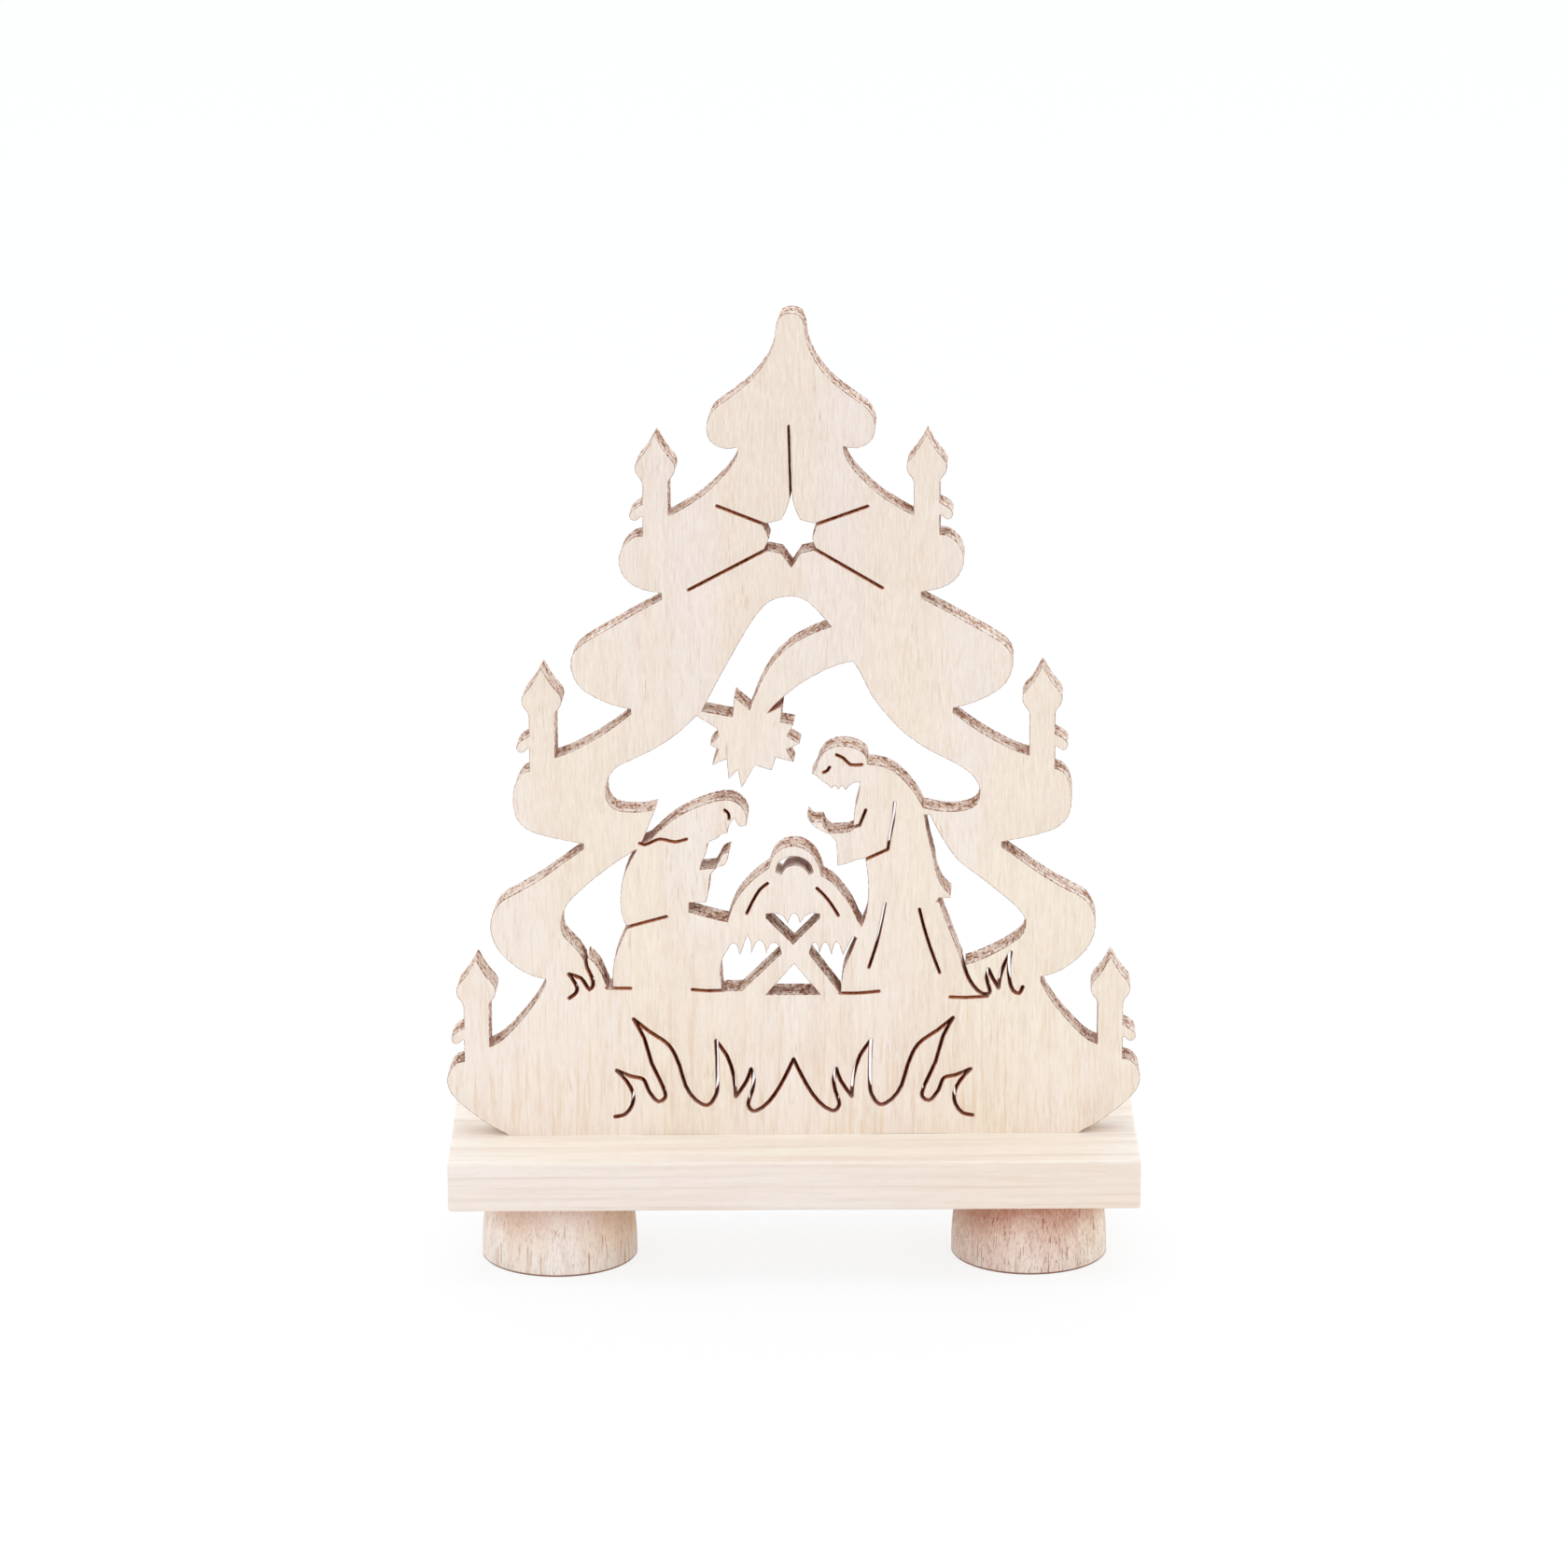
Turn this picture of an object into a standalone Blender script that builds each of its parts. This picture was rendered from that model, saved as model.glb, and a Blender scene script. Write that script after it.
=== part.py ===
"""Carved nativity tree: a plywood panel, cut through, on a plank with two turned feet.

Units are metres. +Z is up, +X is to the viewer's right and the panel's front faces -Y. The origin is
on the table, under the middle of the plank.
"""

import math

import bmesh
import bpy
from mathutils import Vector
from mathutils.geometry import delaunay_2d_cdt

MM = 0.001

# Feet, turned in beech
FOOT_DIAMETER = 12.95 * MM
FOOT_HEIGHT = 6.45 * MM
FOOT_STRAIGHT_HEIGHT = 0.8 * MM
FOOT_TOP_TAPER = 0.7 * MM
FOOT_EDGE = 0.1 * MM
FOOT_END_INSET = 8.85 * MM

# Plank. The panel's lowest boughs overhang each of its ends a little.
PANEL_OVERHANG = 0.25 * MM
BASE_DEPTH = 17.4 * MM
BASE_THICKNESS = 4.2 * MM
BASE_EDGE_ROUND = 0.25 * MM

# Panel
PANEL_WIDTH = 57.4 * MM
PANEL_HEIGHT = 69.35 * MM
PANEL_THICKNESS = 3.0 * MM
CUT_WIDTH = 0.22 * MM
GRASS_CUT_WIDTH = 0.27 * MM

# Candles, cut in one with the panel
CANDLE_WIDTH = 2.1 * MM
FLAME_WIDTH = 3.26 * MM
FLAME_HEIGHT = 4.05 * MM
DRIP_REACH = 1.05 * MM
DRIP_HEIGHT = 1.36 * MM

# Joints
GLUE_LINE = 0.05 * MM
END_GAP = 0.3 * MM
TENON_WIDTH = 6.0 * MM
TENON_SPACING = 19.0 * MM
SLOT_FLOOR = 1.3 * MM
DOWEL_DIAMETER = 3.0 * MM
DOWEL_EDGE = 0.3 * MM
DOWEL_ROOF = 1.3 * MM
DOWEL_FLOOR = 2.9 * MM

# Fineness of the mesh
CHORD_TOLERANCE = 0.03 * MM
WELD_DISTANCE = 0.001 * MM
CUTTER_OVERSHOOT = 1.0 * MM
TURN_STEPS = 48
CAP_STEPS = 4
SHOULDER_STEPS = 8

# Outermost places of the pattern, which is drawn in millimetres from the middle of the panel's foot.
# The panel's width and height are theirs, so they set the pattern's scale.
TREE_TIP = (0, 69.35)
LOWEST_BOUGH_END = (28.7, 4.6)

# Heights of the stack and places that several pieces share
BASE_LENGTH = PANEL_WIDTH - 2 * PANEL_OVERHANG
BASE_BOTTOM = FOOT_HEIGHT + GLUE_LINE
BASE_TOP = BASE_BOTTOM + BASE_THICKNESS
PANEL_BOTTOM = BASE_TOP + GLUE_LINE
TENON_LENGTH = BASE_THICKNESS - SLOT_FLOOR - END_GAP + GLUE_LINE
FOOT_X = BASE_LENGTH / 2 - FOOT_END_INSET
DOWEL_HOLE_RADIUS = DOWEL_DIAMETER / 2 + GLUE_LINE
DOWEL_BOTTOM = DOWEL_FLOOR + END_GAP
DOWEL_TOP = BASE_TOP - DOWEL_ROOF - END_GAP


def clear_scene():
    """Removes whatever the scene holds."""
    for item in list(bpy.data.objects):
        bpy.data.objects.remove(item, do_unlink=True)


def wood(name, colour, roughness):
    """A plain wood material."""
    material = bpy.data.materials.new(name)
    material.use_nodes = True
    shader = material.node_tree.nodes["Principled BSDF"]
    shader.inputs["Base Color"].default_value = (*colour, 1.0)
    shader.inputs["Roughness"].default_value = roughness
    shader.inputs["Metallic"].default_value = 0.0
    return material


def place(name, mesh, location, material):
    """Puts a bmesh into the scene as a named object."""
    data = bpy.data.meshes.new(name)
    mesh.to_mesh(data)
    mesh.free()
    item = bpy.data.objects.new(name, data)
    item.location = location
    if material:
        data.materials.append(material)
    bpy.context.collection.objects.link(item)
    return item


def shade_round(item):
    """Shades the round sides smooth and keeps the edges of the piece sharp."""
    item.data.shade_smooth()
    item.data.set_sharp_from_angle(angle=math.radians(30))


def turned(name, profile, location, material):
    """A piece turned about its vertical axis from (radius, height) points that start and end on it."""
    mesh = bmesh.new()
    points = [mesh.verts.new((radius, 0.0, height)) for radius, height in profile]
    edges = [mesh.edges.new(pair) for pair in zip(points, points[1:])]
    bmesh.ops.spin(mesh, geom=points + edges, axis=(0, 0, 1), cent=(0, 0, 0),
                   angle=math.tau, steps=TURN_STEPS, use_merge=True)
    bmesh.ops.remove_doubles(mesh, verts=mesh.verts[:], dist=WELD_DISTANCE)
    bmesh.ops.recalc_face_normals(mesh, faces=mesh.faces[:])
    item = place(name, mesh, location, material)
    shade_round(item)
    return item


def block(name, size, location, material=None):
    """A box, its location the middle of its underside."""
    mesh = bmesh.new()
    bmesh.ops.create_cube(mesh, size=1.0)
    bmesh.ops.translate(mesh, verts=mesh.verts[:], vec=(0, 0, 0.5))
    bmesh.ops.scale(mesh, verts=mesh.verts[:], vec=size)
    return place(name, mesh, location, material)


def cut_away(item, cutter):
    """Cuts a guide shape out of a piece."""
    cutter.hide_render = True
    cutter.display_type = "WIRE"
    cut = item.modifiers.new("cut " + cutter.name, "BOOLEAN")
    cut.operation = "DIFFERENCE"
    cut.solver = "EXACT"
    cut.object = cutter


def smooth(knots):
    """A flattened smooth curve through the knots (centripetal Catmull-Rom)."""
    if len(knots) < 3:
        return list(knots)
    padded = [2 * knots[0] - knots[1], *knots, 2 * knots[-1] - knots[-2]]
    points = [knots[0]]
    for span in zip(padded, padded[1:], padded[2:], padded[3:]):
        times = [0.0]
        for near, far in zip(span, span[1:]):
            times.append(times[-1] + math.sqrt((far - near).length))
        middle = (times[1] + times[2]) / 2
        flatten(span, times, times[1], middle, points)
        flatten(span, times, middle, times[2], points)
    return points


def flatten(span, times, start, end, points):
    """Adds points of one span of the curve until each chord is within the tolerance of it."""
    near, far = on_span(span, times, start), on_span(span, times, end)
    middle = on_span(span, times, (start + end) / 2)
    chord = (far - near).normalized()
    if abs((middle - near).cross(chord)) > CHORD_TOLERANCE:
        flatten(span, times, start, (start + end) / 2, points)
        flatten(span, times, (start + end) / 2, end, points)
    else:
        points.append(far)


def on_span(span, times, time):
    """The point of one span of the curve at a time."""
    level = list(span)
    for reach in (1, 2):
        steps = range(len(level) - 1)
        level = [blend(level[i], level[i + 1], times[i], times[i + reach], time) for i in steps]
    return blend(level[0], level[1], times[1], times[2], time)


def blend(near, far, start, end, time):
    """The point between near and far at a time between start and end."""
    share = (time - start) / (end - start)
    return near * (1 - share) + far * share


def on_sheet(x, z):
    """A place of the pattern on the real sheet."""
    return Vector((x * PANEL_WIDTH / (2 * LOWEST_BOUGH_END[0]), z * PANEL_HEIGHT / TREE_TIP[1]))


def mirrored(points):
    """The points on the other side of the middle line, in the opposite order."""
    return [Vector((-point.x, point.y)) for point in reversed(points)]


class Pen:
    """Draws an outline in straight lines and in smooth curves through places of the pattern."""

    def __init__(self, x, z):
        self.points = [on_sheet(x, z)]

    def line(self, *places):
        """Goes straight from place to place."""
        self.points += [on_sheet(*spot) for spot in places]
        return self

    def curve(self, *places):
        """Goes smoothly through the places, with a corner only where the curve starts and ends."""
        knots = [self.points[-1]] + [on_sheet(*spot) for spot in places]
        self.points += smooth(knots)[1:]
        return self

    def shape(self, points):
        """Goes straight through points that are given in metres."""
        self.points += points
        return self


# Half of a flame: share of its half width against share of its height
FLAME_PROFILE = [(0.72, 0.09), (0.90, 0.18), (1.0, 0.30), (0.97, 0.39), (0.85, 0.48), (0.60, 0.60),
                 (0.36, 0.74), (0.17, 0.88), (0.0, 1.0)]

# The drip of wax beside a candle, from its top down: shares of its reach and of its height
DRIP_PROFILE = [(0.05, 1.0), (0.66, 0.72), (1.0, 0.42), (0.90, 0.08), (0.55, 0.0), (0.14, 0.25)]


def candle(x, flame_z, drip_z):
    """A candle's outline from its inner side over the flame and down to under its drip of wax."""
    axis, base = on_sheet(x, flame_z)
    stem = CANDLE_WIDTH / 2
    half = [(stem, 0)]
    half += [(width * FLAME_WIDTH / 2, height * FLAME_HEIGHT) for width, height in FLAME_PROFILE]
    inner = smooth([Vector((axis - width, base + height)) for width, height in half])
    outer = smooth([Vector((axis + width, base + height)) for width, height in reversed(half)])
    drip_bottom = on_sheet(x, drip_z).y
    drip = smooth([Vector((axis + stem + reach * DRIP_REACH, drip_bottom + height * DRIP_HEIGHT))
                   for reach, height in DRIP_PROFILE])
    above, below = Vector((axis + stem, drip[0].y)), Vector((axis + stem, drip[-1].y))
    return inner + outer[1:] + [above, *drip, below]


def tenon():
    """The right tenon's outline, under the panel's foot."""
    middle, half = TENON_SPACING / 2, TENON_WIDTH / 2
    return [Vector((middle + half, 0)), Vector((middle + half, -TENON_LENGTH)),
            Vector((middle - half, -TENON_LENGTH)), Vector((middle - half, 0))]


def stem_foot(x, z, side):
    """Where a candle's inner (-1) or outer (+1) side meets a bough."""
    return Vector((on_sheet(x, z).x + side * CANDLE_WIDTH / 2, on_sheet(x, z).y))


def tree_edge():
    """The panel's outline: tip, five tiers of boughs, six candles, foot and tenons."""
    top = [on_sheet(*spot) for spot in [
        TREE_TIP, (0.75, 69.15), (1.15, 68.3), (1.3, 67.1), (1.95, 65.5), (3.3, 63.75),
        (5.0, 62.4), (6.4, 61.25), (6.82, 60.0), (6.45, 58.8), (5.3, 58.22), (4.25, 58.35)]]
    cap = smooth(mirrored(top)[:-1] + top)

    upper, middle, lower = 10.98, 20.42, 26.18
    pen = Pen(4.25, 58.35)
    pen.line((4.35, 57.75)).curve((4.75, 56.9), (5.8, 55.65), (7.2, 54.35), (8.7, 53.35), (9.75, 52.75))
    pen.shape([stem_foot(upper, 52.75, -1)])
    pen.shape(candle(upper, 55.35, 52.3))
    pen.shape([stem_foot(upper, 51.05, 1)])
    pen.curve((12.75, 50.95), (13.55, 50.25), (13.98, 49.25), (13.85, 48.15), (13.2, 47.2),
              (12.2, 46.6), (10.55, 46.25))

    pen.line((10.55, 45.75)).curve((12.6, 44.65), (15.0, 43.25), (17.0, 42.05), (17.85, 41.15),
                                   (18.0, 40.0), (17.4, 38.55), (16.0, 37.5), (14.5, 36.85),
                                   (13.15, 36.52))
    pen.line((13.15, 36.13)).curve((14.6, 35.0), (16.3, 33.9), (18.1, 32.95), (19.3, 32.5))
    pen.shape([stem_foot(middle, 32.5, -1)])
    pen.shape(candle(middle, 35.97, 32.9))
    pen.shape([stem_foot(middle, 31.36, 1)])
    pen.curve((22.1, 31.1), (22.7, 30.15), (22.88, 28.8), (22.6, 27.3), (21.8, 26.4), (19.9, 25.7),
              (17.15, 25.12))

    pen.line((17.15, 24.7)).curve((19.1, 23.3), (20.8, 22.05), (22.6, 21.0), (24.15, 20.05),
                                  (24.85, 18.7), (24.8, 17.2), (24.15, 15.85), (22.8, 14.55),
                                  (21.6, 13.85), (20.43, 13.52))
    pen.line((20.43, 13.15)).curve((21.1, 11.85), (22.3, 10.2), (23.7, 8.65), (24.4, 8.05), (25.1, 7.7))
    pen.shape([stem_foot(lower, 7.7, -1)])
    pen.shape(candle(lower, 11.2, 7.95))
    pen.shape([stem_foot(lower, 6.45, 1)])
    pen.curve((27.95, 6.25), (28.55, 5.45), LOWEST_BOUGH_END, (28.35, 3.6), (27.2, 2.4), (25.7, 1.2),
              (24.6, 0.5), (23.6, 0))
    pen.shape(tenon())

    right = pen.points[1:]
    return cap + right + mirrored(right)


def star():
    """The six-pointed star near the tip."""
    return Pen(0, 54.4).line(
        (0.35, 53.2), (0.72, 52.33), (2.1, 51.95), (1.7, 50.8), (2.0, 49.85), (0.75, 49.55), (0, 48.4),
        (-0.8, 49.55), (-2.2, 49.85), (-1.8, 50.8), (-2.3, 51.95), (-0.8, 52.33), (-0.35, 53.2)).points


def arch():
    """The opening between the arch of the boughs and the comet's tail."""
    pen = Pen(0, 45.95)
    pen.curve((-1.2, 45.8), (-2.3, 45.1), (-3.5, 43.45), (-5.0, 40.8), (-6.55, 37.95), (-7.35, 36.35))
    pen.line((-4.85, 35.85), (-4.7, 37.55), (-3.45, 36.45))
    pen.curve((-3.1, 37.4), (-2.4, 39.05), (-1.2, 40.85), (0.3, 42.1), (1.85, 42.9), (3.2, 43.4))
    pen.curve((2.6, 44.15), (1.5, 45.35), (0.7, 45.82), (0, 45.95))
    return pen.points[:-1]


def scene():
    """The big opening, which leaves the comet, both figures and the crib standing in it."""
    pen = Pen(-7.8, 35.95)
    comet(pen)
    pen.curve((5.6, 39.5), (6.55, 37.5), (7.9, 35.75), (9.4, 34.2), (11.3, 32.9), (13.4, 31.8),
              (14.8, 30.75), (15.35, 29.6), (15.1, 28.4), (14.3, 27.9), (13.1, 27.74), (11.8, 27.83),
              (10.7, 28.1))
    father(pen)
    crib_outline(pen)
    mother(pen)
    pen.curve((-12.1, 25.85), (-11.65, 27.0), (-11.2, 28.05))
    pen.curve((-12.2, 27.85), (-13.6, 27.85), (-14.6, 28.1), (-15.2, 28.9), (-15.2, 30.3),
              (-14.5, 31.5), (-13.1, 32.25), (-11.2, 33.2), (-9.3, 34.5), (-7.8, 35.95))
    return pen.points[:-1]


def comet(pen):
    """The comet's points, from its long left ray round underneath, and the lower side of its tail."""
    pen.line((-6.15, 34.9), (-6.0, 34.2), (-6.7, 33.5), (-6.03, 33.1), (-6.55, 31.75), (-5.35, 32.3),
             (-5.2, 30.55), (-4.45, 31.4), (-4.15, 29.8), (-3.05, 31.75), (-1.7, 31.3), (-1.35, 32.4),
             (0.1, 32.0), (-0.45, 33.05), (0.6, 33.55), (-0.4, 34.2), (0.1, 35.2), (-0.95, 35.4),
             (-0.8, 36.75), (-2.0, 36.15))
    pen.curve((-1.4, 36.85), (-0.35, 37.8), (0.9, 38.75), (2.4, 39.6), (3.9, 40.25), (5.0, 40.45))


def father(pen):
    """The standing figure, from its back over head, arms and hands down the front of its robe."""
    pen.curve((10.2, 29.05), (9.3, 30.25), (8.2, 31.25), (7.2, 31.65), (6.15, 31.8))
    pen.curve((6.05, 32.45), (5.55, 32.95), (4.6, 33.3), (3.5, 33.3), (2.55, 32.8), (2.05, 31.95))
    pen.curve((1.95, 31.5), (1.6, 31.0))
    pen.curve((1.95, 30.85), (2.2, 30.6), (2.5, 30.3))
    pen.curve((2.85, 30.1), (3.2, 29.75))
    pen.curve((3.5, 30.0), (3.75, 29.65))
    pen.curve((4.1, 29.95), (4.35, 29.6))
    pen.curve((4.65, 29.95), (5.0, 30.2), (5.5, 30.3))
    pen.curve((5.45, 29.3), (5.1, 28.0), (4.95, 26.2))
    pen.line((4.4, 26.0), (3.1, 25.95)).line((2.65, 26.35), (2.4, 26.9), (1.6, 26.9), (1.2, 27.4))
    pen.curve((1.5, 26.8), (2.2, 26.2), (3.0, 25.85), (3.6, 25.2))
    pen.line((3.7, 23.15)).curve((4.5, 23.35), (5.2, 23.65), (5.95, 23.75))
    pen.curve((6.15, 22.5), (6.2, 20.9), (6.05, 19.1), (5.65, 17.95))


def crib_outline(pen):
    """The upper edge of the crib, over the child's head and down to the mother's lap."""
    pen.curve((5.3, 18.5), (4.75, 19.75), (3.9, 20.95), (3.1, 21.85), (2.4, 22.25))
    pen.curve((2.2, 23.0), (1.7, 24.0), (0.85, 24.68), (0, 24.85), (-0.9, 24.65), (-1.65, 23.95),
              (-2.0, 22.95))
    pen.curve((-2.8, 22.4), (-3.85, 21.4), (-4.65, 20.35), (-5.15, 19.2), (-5.4, 18.4))


def mother(pen):
    """The kneeling figure, from its lap over folded hands, head and veil down to its back."""
    pen.curve((-6.1, 18.55), (-7.2, 18.85), (-8.55, 19.25))
    pen.line((-8.55, 20.05), (-7.15, 20.05))
    pen.curve((-7.0, 20.6), (-6.9, 21.5), (-6.8, 22.4)).curve((-6.2, 23.05), (-5.6, 23.25), (-5.35, 23.7))
    pen.line((-5.2, 24.4)).curve((-5.75, 24.15), (-6.1, 23.5), (-6.4, 23.0)).line((-7.6, 22.9))
    pen.curve((-7.45, 23.5), (-7.1, 24.3), (-7.0, 24.95))
    pen.curve((-6.85, 25.25), (-6.5, 25.4)).curve((-6.1, 25.6), (-5.85, 25.9), (-5.35, 25.95))
    pen.curve((-5.3, 26.4), (-5.05, 26.9), (-4.75, 27.3)).curve((-4.6, 26.9), (-4.35, 26.55), (-3.8, 26.6))
    pen.curve((-3.75, 27.4), (-4.2, 28.3), (-5.1, 28.8), (-6.4, 28.7), (-8.2, 28.05), (-9.8, 27.15),
              (-11.0, 26.1), (-11.75, 25.4), (-12.4, 25.15))


def left_window():
    """The opening behind the mother, with a blade of grass standing in its lower corner."""
    pen = Pen(-12.77, 24.64)
    pen.curve((-14.4, 23.6), (-16.0, 22.4), (-17.6, 21.0), (-18.65, 19.8), (-19.07, 18.5),
              (-18.95, 17.4), (-18.4, 16.7), (-17.75, 16.0), (-17.15, 15.0))
    pen.line((-17.0, 14.8), (-16.92, 15.43))
    pen.curve((-16.35, 14.9), (-15.9, 14.2), (-15.55, 13.3), (-15.33, 12.8))
    pen.line((-14.87, 12.8))
    pen.curve((-14.9, 13.6), (-14.75, 15.1), (-14.3, 16.4), (-13.65, 17.93))
    pen.curve((-14.0, 18.8), (-14.17, 20.0), (-14.05, 21.7), (-13.6, 23.1), (-12.77, 24.64))
    return pen.points[:-1]


def right_window():
    """The opening behind the father."""
    pen = Pen(10.8, 27.46)
    pen.line((11.27, 27.46))
    pen.curve((11.7, 26.55), (12.5, 25.1), (13.6, 23.55), (15.3, 22.2), (17.0, 20.8), (18.5, 19.45),
              (19.15, 18.4), (18.95, 17.3), (18.1, 16.5), (16.6, 15.6), (15.2, 14.95), (14.15, 14.6))
    pen.line((13.95, 14.85)).curve((13.5, 16.0), (12.95, 17.5), (12.4, 18.9), (12.05, 20.0))
    pen.line((11.8, 20.03), (12.03, 20.35), (12.95, 20.35), (12.95, 20.68))
    pen.curve((12.45, 21.15), (12.05, 21.8), (11.72, 22.75))
    pen.curve((11.6, 23.7), (11.25, 25.1), (10.98, 26.4), (10.8, 27.46))
    return pen.points[:-1]


def child_hood():
    """The crescent cut between the child's head and its blanket."""
    pen = Pen(-1.38, 22.65)
    pen.curve((-1.2, 23.4), (-0.6, 23.85), (0.15, 23.98), (0.85, 23.8), (1.45, 23.3), (1.68, 22.6))
    pen.line((1.35, 22.4)).curve((0.95, 22.95), (0.15, 23.25), (-0.6, 22.95), (-0.93, 22.45))
    return pen.points


def straw_notch():
    """The cut above the crib's crossed legs, with two straws hanging into it."""
    pen = Pen(-2.2, 19.05)
    pen.line((-2.2, 18.7), (0, 16.45), (2.2, 18.7), (2.2, 19.03), (1.5, 19.1))
    pen.curve((0.95, 18.8), (0.57, 18.2)).curve((0.4, 18.85), (0.05, 19.1), (-0.2, 18.85), (-0.42, 18.2))
    pen.curve((-0.75, 18.8), (-1.35, 19.1))
    return pen.points


def crib_window_left():
    """The opening beside the crib's left leg, with straws hanging into it."""
    pen = Pen(-5.36, 16.0)
    pen.curve((-5.15, 16.45), (-4.75, 16.5), (-4.37, 15.5))
    pen.curve((-4.15, 16.1), (-3.93, 16.8), (-3.74, 17.2))
    pen.curve((-3.5, 16.7), (-3.45, 15.6)).curve((-3.15, 16.4), (-2.8, 16.8), (-2.4, 16.5), (-2.22, 15.6))
    pen.curve((-1.95, 16.3), (-1.5, 16.6), (-1.1, 16.15), (-0.98, 15.65))
    pen.line((-4.25, 12.46), (-5.87, 12.46))
    pen.curve((-5.95, 13.4), (-6.0, 14.4), (-5.8, 15.3), (-5.36, 16.0))
    return pen.points[:-1]


def crib_window_right():
    """The opening beside the crib's right leg, with straws hanging into it."""
    pen = Pen(1.32, 15.63)
    pen.curve((1.5, 16.2), (1.8, 16.6), (2.05, 16.3), (2.17, 15.6))
    pen.curve((2.4, 16.35), (2.65, 16.6), (2.95, 16.25), (3.17, 15.45))
    pen.curve((3.35, 16.3), (3.58, 16.65), (3.87, 16.25), (4.09, 15.45))
    pen.curve((4.5, 16.25), (4.95, 17.1)).line((5.25, 16.95))
    pen.curve((4.9, 16.0), (4.2, 14.4), (3.98, 13.2), (3.91, 12.14))
    return pen.points


def crib_window_low():
    """The opening under the crib's crossed legs."""
    return Pen(0.08, 14.76).line((-2.25, 12.1), (2.22, 12.1)).points


def cut_along(*runs, width=CUT_WIDTH):
    """Ribbons as wide as the cut along each run. A run starts, with a corner, where the last one ends."""
    ribbons = []
    start = []
    for run in runs:
        line = smooth([on_sheet(*spot) for spot in start + run])
        ribbons.append(ribbon(line, width))
        start = run[-1:]
    return ribbons


def ribbon(line, width):
    """The outline of a cut with round ends along a line."""
    left, right = [], []
    for index, point in enumerate(line):
        along = line[min(index + 1, len(line) - 1)] - line[max(index - 1, 0)]
        across = Vector((-along.y, along.x)).normalized() * width / 2
        left.append(point + across)
        right.append(point - across)
    end, start = round_end(line[-1], left[-1]), round_end(line[0], right[0])
    return right + end[::-1] + left[::-1] + start[::-1]


def round_end(centre, side):
    """Points of the half circle that runs from one side of a cut's end, clockwise, to the other."""
    spoke = side - centre
    angle = math.atan2(spoke.y, spoke.x)
    turns = [angle - math.pi * step / CAP_STEPS for step in range(1, CAP_STEPS)]
    return [centre + spoke.length * Vector((math.cos(turn), math.sin(turn))) for turn in turns]


def flipped(*runs):
    """The same runs on the other side of the middle line."""
    return [[(-x, z) for x, z in run] for run in runs]


def star_rays():
    """Cuts that shine from the star."""
    return [
        *cut_along([(0, 54.1), (-0.15, 60.05)]),
        *cut_along([(-1.9, 51.85), (-6.0, 53.5)]),
        *cut_along([(1.9, 51.9), (6.2, 53.42)]),
        *cut_along([(-1.8, 49.98), (-8.36, 46.52)]),
        *cut_along([(1.8, 49.95), (7.39, 46.61)]),
    ]


def figure_folds():
    """Cuts that draw the folds of both figures' clothes, hair and veil and the crib's blanket."""
    return [
        *cut_along([(-12.55, 25.15), (-12.1, 25.03), (-11.5, 25.28), (-10.9, 25.5), (-10.3, 25.4),
                    (-9.6, 25.25), (-8.7, 25.48)]),
        *cut_along([(-5.55, 27.95), (-5.25, 27.65), (-5.2, 27.2)]),
        *cut_along([(-13.75, 17.95), (-12.5, 18.3), (-11.4, 18.6), (-10.4, 18.87)]),
        *cut_along([(-2.08, 21.67), (-2.7, 21.15), (-3.3, 20.15), (-3.8, 19.1)]),
        *cut_along([(1.98, 21.24), (2.6, 20.6), (3.2, 19.8), (3.73, 18.9)]),
        *cut_along([(3.6, 32.6), (4.2, 32.3), (4.75, 31.75), (5.7, 31.75)]),
        *cut_along([(2.55, 31.1), (2.85, 31.25), (3.05, 31.55)]),
        *cut_along([(4.95, 26.45), (5.5, 26.6)], [(5.75, 27.25), (6.0, 27.9)]),
        *cut_along([(5.9, 23.65), (7.82, 24.54)], [(7.95, 25.5), (8.25, 27.0), (8.37, 28.5)]),
        *cut_along([(7.57, 19.9), (7.3, 18.4), (6.9, 16.5), (6.24, 14.4)]),
        *cut_along([(10.41, 19.4), (10.75, 17.95), (11.3, 16.1), (12.08, 13.93)]),
    ]


def ground_cuts():
    """Cuts that draw the ground line beside the figures and the grass at both windows."""
    return [
        *cut_along([(-15.4, 12.75), (-14.4, 12.71), (-13.4, 12.7)]),
        *cut_along([(-8.33, 12.57), (-7.1, 12.46), (-5.7, 12.5)]),
        *cut_along([(-17.08, 15.0), (-16.98, 14.5), (-16.62, 13.7), (-16.5, 13.0), (-16.8, 12.6),
                    (-17.15, 13.1), (-17.5, 13.6), (-18.5, 13.95)],
                   [(-18.1, 13.35), (-17.83, 12.75), (-17.95, 12.3), (-18.5, 11.87)],
                   width=GRASS_CUT_WIDTH),
        *cut_along([(3.85, 12.2), (5.4, 12.2), (7.07, 12.35)]),
        *cut_along([(12.93, 11.82), (14.3, 11.77), (16.05, 11.88)]),
        *cut_along([(14.0, 14.85), (14.3, 13.85), (14.85, 12.8), (15.6, 12.1), (16.2, 12.15),
                    (16.1, 12.85), (15.95, 13.5), (16.1, 14.2)],
                   [(16.45, 13.45), (16.93, 12.6)],
                   [(17.05, 13.5), (17.4, 14.6), (17.93, 15.65)],
                   [(17.78, 14.5), (17.85, 13.2), (18.15, 12.35), (18.65, 12.1), (18.93, 12.66)],
                   width=GRASS_CUT_WIDTH),
    ]


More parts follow.
